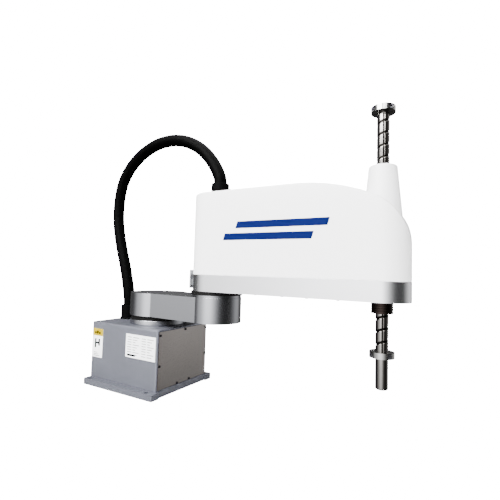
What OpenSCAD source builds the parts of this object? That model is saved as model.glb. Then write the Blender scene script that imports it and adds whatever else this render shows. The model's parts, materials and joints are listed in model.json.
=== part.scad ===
// Four-axis SCARA robot arm: box base, two links, ball-screw spline shaft and flexible conduit.
// Origin: the first joint's axis where it meets the mounting plane. +X forward, +Y left, +Z up.

/* [Base] */
// Distance from the first joint's axis back to the rear wall
base_rear = 125.5; // [124:0.5:130]
// Distance from the first joint's axis forward to the front wall
base_front = 79; // [76:0.5:90]
// Width of the base body
base_w = 166; // [160:1:180]
// Height of the base body
base_h = 138; // [138:1:140]
// Wall thickness of the base casting
base_wall = 6; // [4:0.5:8]
// Width of each mounting flange, outside the body
flange_w = 16; // [15:0.5:20]
// Thickness of the mounting flanges
flange_t = 13; // [10:0.5:16]
// Distance between mounting holes, front to back
bolt_span_x = 172; // [160:1:180]
// Distance between mounting holes, side to side
bolt_span_y = 183; // [181:0.5:184]
// Diameter of the mounting holes
bolt_hole_d = 9; // [7:0.5:9]

/* [Link 1] */
// Distance between the first and second joint axes
link1_len = 175; // [174:0.5:176]
// Direction of link 1 as drawn, from +X
link1_angle = -5.7; // [-7:0.1:-4]
// Radius of link 1 round the first joint
link1_r1 = 65; // [60:0.5:66]
// Radius of link 1 round the second joint
link1_r2 = 51; // [48:0.5:52]
// Height of the underside of link 1
link1_z = 158; // [158:0.5:160]
// Thickness of link 1
link1_t = 50; // [48:0.5:50]

/* [Link 2] */
// Distance from the second joint axis to the shaft axis
link2_len = 325; // [320:1:330]
// Radius of link 2 round the second joint
link2_r1 = 49.7; // [49:0.1:51]
// Radius of link 2 round the shaft
link2_r2 = 44.3; // [44:0.1:46]
// Height of the underside of link 2
link2_z = 220.4; // [220:0.2:221]
// Height of the joint line between the frame and its cover
cover_z = 253; // [252:0.5:256]
// Height of the flat top of the cover
cover_top = 417.5; // [414:0.5:420]
// Wall thickness of the cover
cover_wall = 3; // [2:0.5:4]
// Height of the top of the cone round the shaft
cone_top = 441.5; // [439:0.5:441.5]

/* [Shaft] */
// Diameter of the ball-screw spline shaft
shaft_d = 20; // [20]
// Height of the shaft's lower end
shaft_z = 81; // [78:0.5:84]
// Length of the shaft
shaft_len = 460.5; // [460.5:0.5:464]
// Diameter of the hole through the shaft
shaft_hole_d = 11; // [8:0.5:12]
// Outer radius of both clamp collars
collar_r = 19.5; // [18:0.5:20]
// Height of both clamp collars
collar_h = 9.5; // [8:0.5:9.5]

/* [Conduit] */
// Outer diameter of the flexible conduit
hose_d = 27; // [26:0.5:27]
// Outer radius of the fittings at both ends of the conduit
fitting_r = 18.5; // [17:0.5:19]

/* [Hidden] */
$fn = 96;
fine_fn = 32;
eps = 0.01;
tangent_lap = 0.02;

// Base
base_len = base_rear + base_front;
base_mid_x = (base_front - base_rear) / 2;
flange_lip = 4;             // how far the flange ends stand past the front wall
flange_overlap = 3;         // how far the flanges reach into the side walls
base_edge_r = 5;            // rounding of the base body's edges
bolt_centre_x = -24.5;      // middle of the mounting holes, front to back
front_cover_t = 2;
front_cover_inset = 3;      // from the base's side walls to the cover's recess
front_cover_gap = 1;        // reveal round the front cover
front_screw_places = [[-76, 126], [2, 130], [76, 126], [-76, 64], [76, 64]];
foot_screw_places = [[-20, 18], [20, 18]];
front_window = [120, 30, 80];       // width, height of its sill, height
rear_window = [100, 30, 70];
rear_panel = [112, 24, 82];
rear_panel_t = 2;
rear_screw_places = [[-52, 28], [52, 28], [-52, 102], [52, 102]];
power_place = [-30, 60];
signal_place = [16, 80];
signal_w = 43;
signal_h = 19;
air_places = [2, 18, 34];
air_z = 44;
earth_place = [62, 30];
rating_size = [86, 49];
rating_corner = [-12.5, 73];
caution_size = [34, 64];
caution_corner = [-121, 59];
label_t = 0.4;
ring_h = 11;                // boss on top of the base
ring_r = 64;
seal_r = 61;
seal_h = link1_z - base_h - ring_h - 0.4;
reducer_r = 52;
reducer_neck_r = 47.8;
reducer_h = 28;
reducer_z = base_h - base_wall - reducer_h;
output_r = 40;
output_depth = 16;          // how far the output flange reaches down into its reducer
output_seat = 18;           // how far it reaches up into link 1
cable_hole_r = 10;
fit_gap = 0.05;             // radial running clearance of every hinge
fitting_x = -101;
fitting_y = 1;
base_fitting_h = 33;
arm_fitting_h = 25.5;
fitting_depth = 7;          // how far the conduit goes into each fitting
hose_gap = 0.8;
fitting_tab = [27, 14, 12.5];       // latch on the +X side of the arm fitting

// Link 1
link1_top = link1_z + link1_t;
web_inset = [9, 3];         // how far the web's sides lie inside the common tangents, at each end
boss_r = 50.3;
boss_h = 5;                 // round boss under the seal of the second joint
pocket_x = 94.5;            // middle of the wiring pockets and of their cover
pocket_y = 22;
pocket_size = [50, 36];
pocket_recess = 3;
link1_cover_size = [61, 85];
link1_cover_t = 2.4;
link1_screw_places = [for (x = [-25.5, 25.5], y = [-37, 37]) [x, y]];
j2_output_r = 30;
j2_output_depth = 12;
j2_seal_r = 52.7;
j2_x = link1_len * cos(link1_angle);
j2_y = link1_len * sin(link1_angle);

// Link 2 (local frame: origin on the second joint, +X towards the shaft)
frame_floor = 7;
frame_wall = 5;
slope_x = 186;              // where the cover's top starts to fall
slope_r = 330;
break_x = 315;              // where the nose's tighter arc takes over
nose_r = 89.2;
slope_rise = slope_r - sqrt(slope_r * slope_r - (break_x - slope_x) * (break_x - slope_x));
break_angle = asin((break_x - slope_x) / slope_r);
nose_x = break_x - nose_r * sin(break_angle);
nose_z = cover_top - slope_rise - nose_r * cos(break_angle);
cone_z = 300;
cone_r_low = 36.2;
cone_r_high = 22.6;
cone_edge_r = 3;
cone_bore_r = 13;
cone_gap = 0.1;             // between the cone and its seat in the cover
bushing_h = 10.5;
stripe_size = [176, 13];
stripe_slant = 4;
stripe_places = [[43, 320], [70, 342]];
bracket_t = 2.5;

// Drive train inside link 2
motor_w = 60;
motor_flange_t = 8;
motor_cap_h = 12;
motor_shaft_r = 7;
j1_motor_len = 88;
j2_motor_len = 92;
r_motor_len = 84;
z_motor_len = 96;
j2_reducer_r = 39.8;
j2_reducer_flange_r = 43;
j2_reducer_h = 32;
drive_shaft_r = 5;
drive_shaft_l = 20;
stand_t = 5;
stand_size = [66, 72];
stand_pillar_r = 3.5;
r_motor_x = 135;
z_motor_x = 235;
stand_feet = [for (x = [-27, 27], y = [-32, 32]) [x, y]];
r_belt_z = 231;
z_belt_z = 257;
r_stand_z = link2_z + 25;   // top of each motor's pillars
z_stand_z = z_belt_z + 14;
belt_w = 10;
belt_t = 2;
motor_pulley_r = 14;
nut_pulley_r = 28;
pulley_flange = 1.5;
nut_r = 17.1;
nut_collar_z = 201;
nut_body_r = 20;
spline_nut_h = 22;
ball_nut_h = 38;
bearing_r = 28;
block_pillars = [[-25, 36], [-25, -36], [22.5, 27], [22.5, -27]];
stroke_up = 60;
tool_end_len = 47.5;        // plain length at the shaft's lower end
relief_w = 1;
relief_depth = 0.3;
shaft_chamfer = 1.5;
collar_slit = 1.6;
collar_screw_x = 14.2;
collar_seat = 8.5;          // from a collar's middle to the seats of its screw heads
stop_gap = 0.5;             // what is left between a collar and its stop at full travel
lower_collar_z = nut_collar_z - stroke_up - stop_gap - collar_h;

// Conduit route, from inside the base fitting to inside the arm fitting
hose_route = [
    [-101, 1, 165], [-102, 1, 185], [-107, 1, 212], [-121, 2, 260], [-139, 3, 309],
    [-153, 4, 355], [-160, 5, 395], [-159, 5, 434], [-151, 4, 471], [-136, 3, 499],
    [-114, 2, 523], [-84, 0, 543], [-52, -2, 556], [-18, -5, 563], [17, -7, 564],
    [46, -9, 560], [73, -11, 552], [100, -12, 539], [124, -14, 522], [145, -15, 501],
    [161, -16, 479], [171, -17, 460], [174, -17.4, 448], [174, -17.4, 437]];
hose_sides = 12;

// ---- Shared shapes -------------------------------------------------------

module at_link1() {
    rotate([0, 0, link1_angle]) children();
}

module at_link2() {
    translate([j2_x, j2_y, 0]) children();
}

module at_shaft() {
    translate([j2_x + link2_len, j2_y, 0]) children();
}

// A round bar with a round hole
module ring(outer, inner, height) {
    difference() {
        cylinder(r = outer, h = height);
        translate([0, 0, -1]) cylinder(r = inner, h = height + 2);
    }
}

// Outline of a link: two circles and their common tangents. The tangents lie a hair inside the
// circles, so that each edge crosses its circle at a clear angle.
module link_outline(r1, r2, length) {
    slope = (r1 - r2) / length;
    side = sqrt(1 - slope * slope);
    q1 = r1 - tangent_lap;
    q2 = r2 - tangent_lap;
    circle(r = r1);
    translate([length, 0]) circle(r = r2);
    polygon([
        [q1 * slope, q1 * side], [q1 * slope, -q1 * side],
        [length + q2 * slope, -q2 * side], [length + q2 * slope, q2 * side]]);
}

module round_rect(length, width, r) {
    for (x = [-1, 1], y = [-1, 1])
        translate([x * (length / 2 - r), y * (width / 2 - r)]) circle(r = r);
    square([length - 2 * r, width], center = true);
    square([length, width - 2 * r], center = true);
}

// A block with its upright edges and its top edges rounded
module round_block(length, width, height, r) {
    intersection() {
        linear_extrude(height) round_rect(length, width, r);
        rotate([90, 0, 90]) translate([0, 0, -length])
            linear_extrude(2 * length) translate([0, height / 2 - r])
                round_rect(width, height + 2 * r, r);
        rotate([90, 0, 0]) translate([0, 0, -width])
            linear_extrude(2 * width) translate([0, height / 2 - r])
                round_rect(length, height + 2 * r, r);
    }
}

// A cap screw along +Z with its head's underside at z = 0
module cap_screw(d, head_h, shank_h) {
    difference() {
        union() {
            cylinder(r = d * 0.85, h = head_h, $fn = fine_fn);
            translate([0, 0, -shank_h]) cylinder(r = d / 2, h = shank_h + eps, $fn = fine_fn);
        }
        translate([0, 0, head_h * 0.4]) cylinder(r = d * 0.48, h = head_h, $fn = 6);
    }
}

// A toothed belt's loop round two pulleys, the second at distance span along +X
module belt_loop(r1, r2, span, width) {
    linear_extrude(width) difference() {
        link_outline(r1 + belt_t, r2 + belt_t, span);
        link_outline(r1, r2, span);
    }
}

// A toothed pulley with two flanges
module pulley(r, width, bore) {
    difference() {
        union() {
            cylinder(r = r - 0.3, h = width);
            for (z = [-pulley_flange, width])
                translate([0, 0, z]) cylinder(r = r + belt_t + 1, h = pulley_flange);
        }
        translate([0, 0, -pulley_flange - 1]) cylinder(r = bore, h = width + 2 * pulley_flange + 2);
    }
}

// A square servo motor with a round end bell, shaft end down
module servo_motor(width, length, shaft_r, shaft_l) {
    body_l = length - motor_flange_t - motor_cap_h;
    translate([0, 0, motor_flange_t]) linear_extrude(body_l) round_rect(width - 3, width - 3, 7);
    linear_extrude(motor_flange_t + eps) round_rect(width, width, 5);
    translate([0, 0, length - motor_cap_h - eps]) cylinder(r = width / 2 - 5, h = motor_cap_h);
    translate([0, 0, -shaft_l]) cylinder(r = shaft_r, h = shaft_l + eps);
}

// ---- Base ----------------------------------------------------------------

module flange_strip(side) {
    strip_w = flange_w + 2 * flange_overlap;
    strip_y = (base_w + flange_w) / 2 - flange_overlap;
    difference() {
        translate([base_mid_x + flange_lip / 2, side * strip_y, 0])
            linear_extrude(flange_t) round_rect(base_len + flange_lip, strip_w, 2);
        for (x = [-1, 1])
            translate([bolt_centre_x + x * bolt_span_x / 2, side * bolt_span_y / 2, -1])
                cylinder(d = bolt_hole_d, h = flange_t + 2);
    }
}

module base_cavity() {
    inner_len = base_len - 2 * base_wall;
    inner_w = base_w - 2 * base_wall;
    translate([base_mid_x, 0, -1])
        linear_extrude(base_h - base_wall + 1) round_rect(inner_len, inner_w, 6);
}

// A window through an upright wall at x; size holds its width, the height of its sill and its height
module wall_window(x, depth, size) {
    translate([x, -size[0] / 2, size[1]]) cube([depth, size[0], size[2]]);
}

module base_housing() color([0.60, 0.62, 0.66]) {
    front_recess = [base_w - 2 * front_cover_inset, flange_t + 2, base_h - flange_t - 6];
    difference() {
        union() {
            translate([base_mid_x, 0, 0]) round_block(base_len, base_w, base_h, base_edge_r);
            for (side = [-1, 1]) flange_strip(side);
        }
        base_cavity();
        // bore for the first joint's reducer
        translate([0, 0, reducer_z + reducer_h - 2]) cylinder(r = reducer_neck_r + 0.2, h = base_wall + 4);
        wall_window(base_front - front_cover_t, front_cover_t + 1, front_recess);
        wall_window(base_front - base_wall - 1, base_wall + 2, front_window);
        wall_window(-base_rear - 1, base_wall + 2, rear_window);
        // screws that hold the front cover
        for (p = front_screw_places)
            translate([base_front - base_wall - 1, p[0], p[1]]) rotate([0, 90, 0])
                cylinder(r = 1.5, h = base_wall + 2, $fn = fine_fn);
        // cable hole under the conduit's fitting
        translate([fitting_x, fitting_y, base_h - base_wall - 1]) cylinder(r = 12, h = base_wall + 2);
        // earth screw
        translate([-base_rear - 1, earth_place[0], earth_place[1]]) rotate([0, 90, 0])
            cylinder(r = 2, h = 5, $fn = fine_fn);
    }
}

module base_front_cover() color([0.56, 0.56, 0.58]) {
    inset = front_cover_inset + front_cover_gap;
    difference() {
        translate([base_front - front_cover_t, -base_w / 2 + inset, flange_t + 3])
            cube([front_cover_t, base_w - 2 * inset, base_h - flange_t - 8]);
        for (p = concat(front_screw_places, foot_screw_places))
            translate([base_front - front_cover_t - 1, p[0], p[1]]) rotate([0, 90, 0])
                cylinder(r = 1.6, h = front_cover_t + 2, $fn = fine_fn);
    }
}

module base_front_screws() color([0.12, 0.12, 0.13]) {
    for (p = front_screw_places)
        translate([base_front, p[0], p[1]]) rotate([0, 90, 0]) cap_screw(3, 1.6, base_wall - 0.5);
    for (p = foot_screw_places)
        translate([base_front, p[0], p[1]]) rotate([0, 90, 0]) cap_screw(3, 1.2, front_cover_t);
}

module base_rear_panel() color([0.22, 0.23, 0.25]) {
    outer_x = -base_rear - rear_panel_t;
    hole_h = rear_panel_t + 2;
    difference() {
        wall_window(outer_x, rear_panel_t, rear_panel);
        translate([outer_x - 1, power_place[0], power_place[1]]) rotate([0, 90, 0])
            cylinder(r = 14, h = hole_h);
        translate([outer_x - 1, signal_place[0] - signal_w / 2 - 0.5, signal_place[1] - signal_h / 2 - 0.5])
            cube([hole_h, signal_w + 1, signal_h + 1]);
        for (p = rear_screw_places)
            translate([outer_x - 1, p[0], p[1]]) rotate([0, 90, 0])
                cylinder(r = 1.7, h = hole_h, $fn = fine_fn);
        for (y = air_places)
            translate([outer_x - 1, y, air_z]) rotate([0, 90, 0]) cylinder(r = 4, h = hole_h);
    }
}

module rear_panel_screws() color([0.55, 0.56, 0.58]) {
    for (p = rear_screw_places)
        translate([-base_rear - rear_panel_t, p[0], p[1]]) rotate([0, -90, 0]) cap_screw(3.2, 2, 1.5);
}

module power_connector() color([0.16, 0.16, 0.17]) {
    translate([-base_rear, power_place[0], power_place[1]]) rotate([0, -90, 0]) {
        difference() {
            union() {
                translate([0, 0, -2]) cylinder(r = 13.8, h = 16);
                translate([0, 0, rear_panel_t]) cylinder(r = 17, h = 3);
            }
            translate([0, 0, 6]) cylinder(r = 11, h = 9);
        }
        // contacts
        for (a = [0:60:300])
            rotate([0, 0, a]) translate([7, 0, 5]) cylinder(r = 1.1, h = 6, $fn = fine_fn);
    }
}

module signal_connector() color([0.62, 0.63, 0.65]) {
    rim = 4;
    translate([-base_rear - 8, signal_place[0] - signal_w / 2, signal_place[1] - signal_h / 2]) difference() {
        cube([9, signal_w, signal_h]);
        translate([-1, rim, rim]) cube([6, signal_w - 2 * rim, signal_h - 2 * rim]);
    }
}

module air_couplings() color([0.20, 0.35, 0.62]) {
    for (y = air_places)
        translate([-base_rear, y, air_z]) rotate([0, -90, 0]) difference() {
            union() {
                translate([0, 0, -2]) cylinder(r = 3.9, h = 15);
                translate([0, 0, rear_panel_t]) cylinder(r = 6, h = 5, $fn = 6);
            }
            translate([0, 0, 4]) cylinder(r = 2.5, h = 10, $fn = fine_fn);
        }
}

module ground_screw() color([0.75, 0.66, 0.35]) {
    translate([-base_rear, earth_place[0], earth_place[1]]) rotate([0, -90, 0]) cap_screw(4, 3, 3.5);
}

// A thin label on the right side of the base; corner is its lower rear corner, along the base and up
module side_label(corner, size) {
    translate([corner[0], -base_w / 2 - label_t, corner[1]]) cube([size[0], label_t, size[1]]);
}

module rating_label() color([0.92, 0.93, 0.93]) {
    side_label(rating_corner, rating_size);
}

module caution_label() color([0.93, 0.85, 0.20]) {
    side_label(caution_corner, caution_size);
}

module shoulder_ring() color([0.66, 0.68, 0.71]) {
    translate([0, 0, base_h]) ring(ring_r, output_r + 3, ring_h);
}

module j1_seal() color([0.06, 0.06, 0.07]) {
    translate([0, 0, base_h + ring_h]) ring(seal_r, output_r + 3, seal_h);
}

module j1_reducer() color([0.35, 0.36, 0.38]) {
    translate([0, 0, reducer_z]) difference() {
        union() {
            cylinder(r = reducer_r, h = reducer_h);
            cylinder(r = reducer_neck_r, h = reducer_h + base_wall);
        }
        translate([0, 0, reducer_h - output_depth - 2]) cylinder(r = output_r + fit_gap, h = 40);
        translate([0, 0, -1]) cylinder(r = motor_shaft_r + fit_gap, h = 12);
    }
}

module j1_motor() color([0.10, 0.10, 0.11]) {
    translate([0, 0, reducer_z]) mirror([0, 0, 1]) servo_motor(motor_w, j1_motor_len, motor_shaft_r, 8);
}

module conduit_fitting(height) {
    difference() {
        union() {
            cylinder(r = fitting_r, h = height);
            cylinder(r = fitting_r + 1.5, h = 4);
        }
        translate([0, 0, height - fitting_depth]) cylinder(r = hose_d / 2 + hose_gap, h = fitting_depth + 1);
        translate([0, 0, -1]) cylinder(r = cable_hole_r, h = height + 2);
    }
}

module conduit_base_fitting() color([0.05, 0.05, 0.06]) {
    translate([fitting_x, fitting_y, base_h]) conduit_fitting(base_fitting_h);
}

// Sweep of a round section along the route
function unit(v) = v / norm(v);
function route_point(p, i) = p[max(0, min(len(p) - 1, i))];
function tangent(p, i) = i == 0 || i == len(p) - 1 ? [0, 0, i == 0 ? 1 : -1]
    : unit(route_point(p, i + 1) - route_point(p, i - 1));
function side_of(t) = unit([0, 1, 0] - t * t[1]);
function mid_point(p, i) = (9 * (p[i] + p[i + 1]) - route_point(p, i - 1) - route_point(p, i + 2)) / 16;
function smooth_route(p) = [
    for (i = [0:len(p) - 2], k = [0, 1]) k == 0 ? p[i] : mid_point(p, i),
    p[len(p) - 1]];

module tube(p, r, sides) {
    n = len(p);
    points = [for (i = [0:n - 1])
        let (t = tangent(p, i), u = side_of(t), v = cross(t, u))
        for (k = [0:sides - 1])
            p[i] + r * (cos(360 * k / sides) * u + sin(360 * k / sides) * v)];
    walls = [for (i = [0:n - 2], k = [0:sides - 1])
        let (a = i * sides + k, b = i * sides + (k + 1) % sides)
        each [[a, b + sides, b], [a, a + sides, b + sides]]];
    first = [for (k = [0:sides - 1]) k];
    last = [for (k = [sides - 1:-1:0]) (n - 1) * sides + k];
    polyhedron(points = points, faces = concat(walls, [first], [last]));
}

module conduit() color([0.03, 0.03, 0.03]) {
    tube(smooth_route(hose_route), hose_d / 2, hose_sides);
}

// ---- Link 1 --------------------------------------------------------------

// Two round ends joined by a web that is a little narrower than their common tangents
module link1_outline() {
    circle(r = link1_r1);
    translate([link1_len, 0]) circle(r = link1_r2);
    half_1 = link1_r1 - web_inset[0];
    half_2 = link1_r2 - web_inset[1];
    polygon([[0, -half_1], [link1_len, -half_2], [link1_len, half_2], [0, half_1]]);
}

module link1_casting() color([0.78, 0.79, 0.80]) at_link1() {
    translate([0, 0, link1_z]) difference() {
        union() {
            linear_extrude(link1_t) link1_outline();
            translate([link1_len, 0, 0]) cylinder(r = boss_r, h = link1_t + boss_h);
        }
        // seat for the first joint's output flange
        translate([0, 0, -1]) cylinder(r = output_r, h = output_seat + 1);
        // seat for the second joint's output
        translate([link1_len, 0, link1_t - j2_output_depth])
            cylinder(r = j2_output_r, h = j2_output_depth + boss_h + 2);
        // hollow for the wiring between the joints, with a middle rib
        for (side = [-1, 1])
            translate([pocket_x, side * pocket_y, pocket_recess]) linear_extrude(link1_t - 9.5)
                round_rect(pocket_size[0], pocket_size[1], 6);
        // recess for the bottom cover
        translate([pocket_x, 0, -1]) linear_extrude(pocket_recess + 1)
            round_rect(link1_cover_size[0] + 1, link1_cover_size[1] + 1, 9);
    }
}

module j1_output() color([0.45, 0.46, 0.48]) at_link1() {
    output_z = base_h - base_wall - output_depth;
    translate([0, 0, output_z]) cylinder(r = output_r, h = link1_z + output_seat - output_z);
}

module link1_bottom_cover() color([0.62, 0.63, 0.65]) at_link1() {
    translate([pocket_x, 0, link1_z + 0.5]) difference() {
        linear_extrude(link1_cover_t) round_rect(link1_cover_size[0], link1_cover_size[1], 8.5);
        for (p = link1_screw_places) translate([p[0], p[1], -1]) cylinder(r = 1.6, h = 5, $fn = fine_fn);
    }
}

module link1_cover_screws() color([0.40, 0.41, 0.43]) at_link1() {
    for (p = link1_screw_places)
        translate([pocket_x + p[0], p[1], link1_z + 0.5]) mirror([0, 0, 1]) {
            cylinder(r = 2.6, h = 1.4, $fn = fine_fn);
            translate([0, 0, -link1_cover_t]) cylinder(r = 1.5, h = link1_cover_t + 0.1, $fn = fine_fn);
        }
}

module j2_output() color([0.45, 0.46, 0.48]) at_link1() {
    output_z = link1_top - j2_output_depth;
    translate([link1_len, 0, output_z])
        cylinder(r = j2_output_r, h = link2_z + j2_output_depth - output_z);
}

module j2_seal() color([0.06, 0.06, 0.07]) at_link1() {
    translate([link1_len, 0, link1_top + boss_h])
        ring(j2_seal_r, j2_output_r + 2, link2_z - link1_top - boss_h - 0.4);
}

// ---- Link 2 --------------------------------------------------------------

module link2_slab(inset, height) {
    linear_extrude(height) link_outline(link2_r1 - inset, link2_r2 - inset, link2_len);
}

module link2_frame() color([0.76, 0.77, 0.79]) at_link2() {
    difference() {
        translate([0, 0, link2_z]) link2_slab(0, cover_z - link2_z);
        translate([0, 0, link2_z + frame_floor]) link2_slab(frame_wall, cover_z);
        translate([0, 0, link2_z - 1]) cylinder(r = 40, h = frame_floor + 2);
        translate([link2_len, 0, link2_z - 1]) cylinder(r = bearing_r, h = frame_floor + 2);
        for (motor_x = [r_motor_x, z_motor_x], p = stand_feet)
            translate([motor_x + p[0], p[1], link2_z - 1])
                cylinder(r = 1.5, h = frame_floor + 2, $fn = fine_fn);
    }
}

// Side view of the cover: flat top, long falling arc, then the nose's tighter arc
module cover_profile(inset) {
    low = cover_z - (inset > 0 ? 1 : 0);
    far_left = -link2_r1 - 1;
    top = cover_top - inset;
    translate([far_left, low]) square([slope_x - far_left, top - low]);
    intersection() {
        translate([slope_x, cover_top - slope_r]) circle(r = slope_r - inset, $fn = 240);
        translate([slope_x - 1, low]) square([break_x - slope_x + 1, top - low]);
    }
    intersection() {
        translate([nose_x, nose_z]) circle(r = nose_r - inset, $fn = 160);
        translate([break_x - 1, low]) square([nose_r, top - low]);
    }
    translate([break_x - 1, low]) square([nose_x + nose_r - inset - break_x + 1, nose_z - low]);
}

module cover_body(inset) {
    intersection() {
        translate([0, 0, cover_z - 1]) link2_slab(inset, cover_top - cover_z + 2);
        translate([0, 100, 0]) rotate([90, 0, 0]) linear_extrude(200) cover_profile(inset);
    }
}

// The cone's outer shape with a rounded rim, grown by gap all round
module cone_body(gap) {
    rim_z = cone_top - cone_edge_r;
    translate([link2_len, 0, 0]) {
        translate([0, 0, cone_z]) cylinder(r1 = cone_r_low + gap, r2 = cone_r_high + gap, h = rim_z - cone_z);
        translate([0, 0, rim_z - eps]) cylinder(r = cone_r_high - cone_edge_r, h = cone_edge_r + eps);
        translate([0, 0, rim_z]) rotate_extrude() intersection() {
            translate([cone_r_high - cone_edge_r, 0]) circle(r = cone_edge_r, $fn = fine_fn);
            translate([cone_r_high - cone_edge_r - 1, 0]) square([cone_edge_r + 1, cone_edge_r]);
        }
    }
}

module link2_cover() color([0.94, 0.94, 0.94]) at_link2() {
    difference() {
        cover_body(0);
        cover_body(cover_wall);
        cone_body(cone_gap);
        translate([0, 0, cover_top - 5]) cylinder(r = cable_hole_r, h = 8);
    }
}

module cover_cone() color([0.94, 0.94, 0.94]) at_link2() {
    inner_h = cone_top - cone_edge_r - cone_z - 3;
    difference() {
        cone_body(0);
        cover_body(cover_wall);
        translate([link2_len, 0, cone_z - 1])
            cylinder(r1 = cone_r_low - cover_wall, r2 = cone_r_high - cover_wall, h = inner_h);
        translate([link2_len, 0, cone_top - bushing_h - 1.5]) cylinder(r = cone_bore_r, h = bushing_h + 3);
    }
}

module frame_screws() color([0.30, 0.30, 0.32]) at_link2() {
    for (motor_x = [r_motor_x, z_motor_x], p = stand_feet)
        translate([motor_x + p[0], p[1], link2_z]) mirror([0, 0, 1]) cap_screw(3, 1.6, frame_floor - 1);
}

module rear_bracket() color([0.70, 0.71, 0.72]) at_link2() {
    translate([-link2_r1 - 6, -22, link2_z + 4]) cube([bracket_t, 44, 38]);
    difference() {
        translate([-link2_r1 - 4, -16, link2_z + 10]) cube([7, 32, 12]);
        translate([0, 0, link2_z]) cylinder(r = link2_r1, h = 40);
    }
}

module conduit_arm_fitting() color([0.05, 0.05, 0.06]) at_link2() {
    translate([0, 0, cover_top]) {
        conduit_fitting(arm_fitting_h);
        difference() {
            translate([0, -fitting_tab[1] / 2, 0]) cube(fitting_tab);
            translate([0, 0, -1]) cylinder(r = fitting_r - 1, h = fitting_tab[2] + 2);
        }
    }
}

module cover_stripe() color([0.13, 0.25, 0.58]) at_link2() {
    taper = (link2_r1 - link2_r2) / link2_len;
    rotate([0, 0, asin(taper)])
        for (p = stripe_places)
            translate([p[0], -link2_r1, p[1]]) rotate([90, 0, 0]) linear_extrude(label_t)
                polygon([[0, 0], [stripe_size[0], 0], [stripe_size[0] + stripe_slant, stripe_size[1]],
                    [stripe_slant, stripe_size[1]]]);
}

module j2_reducer() color([0.35, 0.36, 0.38]) at_link2() {
    translate([0, 0, link2_z + 0.4]) difference() {
        union() {
            cylinder(r = j2_reducer_r, h = j2_reducer_h);
            translate([0, 0, frame_floor - 0.4]) cylinder(r = j2_reducer_flange_r, h = 10);
        }
        translate([0, 0, -1]) cylinder(r = j2_output_r + fit_gap, h = 13);
        translate([0, 0, 11]) cylinder(r = motor_shaft_r + fit_gap, h = 22);
    }
}

module j2_motor() color([0.10, 0.10, 0.11]) at_link2() {
    translate([0, 0, link2_z + j2_reducer_h + 0.5]) servo_motor(motor_w, j2_motor_len, motor_shaft_r, 6);
}

// A plate on four pillars under one drive motor
module motor_stand(motor_x, plate_z) {
    foot_z = link2_z + frame_floor;
    difference() {
        union() {
            translate([motor_x, 0, plate_z]) linear_extrude(stand_t)
                round_rect(stand_size[0], stand_size[1], 5);
            for (p = stand_feet)
                translate([motor_x + p[0], p[1], foot_z])
                    cylinder(r = stand_pillar_r, h = plate_z + 1 - foot_z, $fn = fine_fn);
        }
        translate([motor_x, 0, plate_z - 1]) cylinder(r = 18, h = stand_t + 2);
    }
}

module motor_bracket() color([0.55, 0.56, 0.58]) at_link2() {
    motor_stand(r_motor_x, r_stand_z);
    motor_stand(z_motor_x, z_stand_z);
}

module r_motor() color([0.10, 0.10, 0.11]) at_link2() {
    translate([r_motor_x, 0, r_stand_z + stand_t])
        servo_motor(motor_w, r_motor_len, drive_shaft_r, drive_shaft_l);
}

module z_motor() color([0.10, 0.10, 0.11]) at_link2() {
    translate([z_motor_x, 0, z_stand_z + stand_t])
        servo_motor(motor_w, z_motor_len, drive_shaft_r, drive_shaft_l);
}

module r_motor_pulley() color([0.70, 0.71, 0.73]) at_link2() {
    translate([r_motor_x, 0, r_belt_z]) pulley(motor_pulley_r, belt_w, drive_shaft_r + fit_gap);
}

module z_motor_pulley() color([0.70, 0.71, 0.73]) at_link2() {
    translate([z_motor_x, 0, z_belt_z]) pulley(motor_pulley_r, belt_w, drive_shaft_r + fit_gap);
}

module r_belt() color([0.08, 0.08, 0.08]) at_link2() {
    translate([r_motor_x, 0, r_belt_z + 0.5])
        belt_loop(motor_pulley_r, nut_pulley_r, link2_len - r_motor_x, belt_w - 1);
}

module z_belt() color([0.08, 0.08, 0.08]) at_link2() {
    translate([z_motor_x, 0, z_belt_z + 0.5])
        belt_loop(motor_pulley_r, nut_pulley_r, link2_len - z_motor_x, belt_w - 1);
}

// Outer ring of the bearing that carries the spline nut, pressed into the frame
module spline_bearing() color([0.66, 0.67, 0.69]) at_shaft() {
    translate([0, 0, link2_z]) ring(bearing_r, nut_body_r + fit_gap, frame_floor);
}

// Bearing block that carries the ball nut, on four pillars clear of both belts
module screw_bearing() color([0.60, 0.61, 0.63]) at_link2() {
    block_z = r_belt_z + belt_w + 3;
    block_x = link2_len - 32;
    difference() {
        intersection() {
            translate([0, 0, block_z]) link2_slab(frame_wall + 1, z_belt_z - pulley_flange - 1 - block_z);
            translate([block_x, -50, block_z]) cube([100, 100, 20]);
        }
        translate([link2_len, 0, block_z - 1]) cylinder(r = nut_body_r + fit_gap, h = 20);
    }
    for (p = block_pillars)
        translate([link2_len + p[0], p[1], link2_z + frame_floor])
            cylinder(r = 2, h = block_z - link2_z - frame_floor + 1, $fn = fine_fn);
}

module cone_bushing() color([0.10, 0.10, 0.11]) at_shaft() {
    translate([0, 0, cone_top - bushing_h - 0.5]) ring(cone_bore_r, shaft_d / 2 + fit_gap, bushing_h);
}

// ---- Nuts and shaft ------------------------------------------------------

module spline_nut() color([0.45, 0.46, 0.48]) at_shaft() {
    translate([0, 0, link2_z]) ring(nut_body_r, shaft_d / 2 + fit_gap, spline_nut_h);
}

module r_pulley() color([0.70, 0.71, 0.73]) at_shaft() {
    translate([0, 0, r_belt_z]) pulley(nut_pulley_r, belt_w, nut_body_r);
}

// Seal and lower end of the spline nut, with shallow rings
module nut_collar() color([0.09, 0.07, 0.07]) at_shaft() {
    translate([0, 0, nut_collar_z]) difference() {
        ring(nut_r, shaft_d / 2 + fit_gap, link2_z - nut_collar_z);
        for (z = [4, 8, 12])
            translate([0, 0, z]) ring(nut_r + 1, nut_r - 0.6, 1.2);
    }
}

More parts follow.
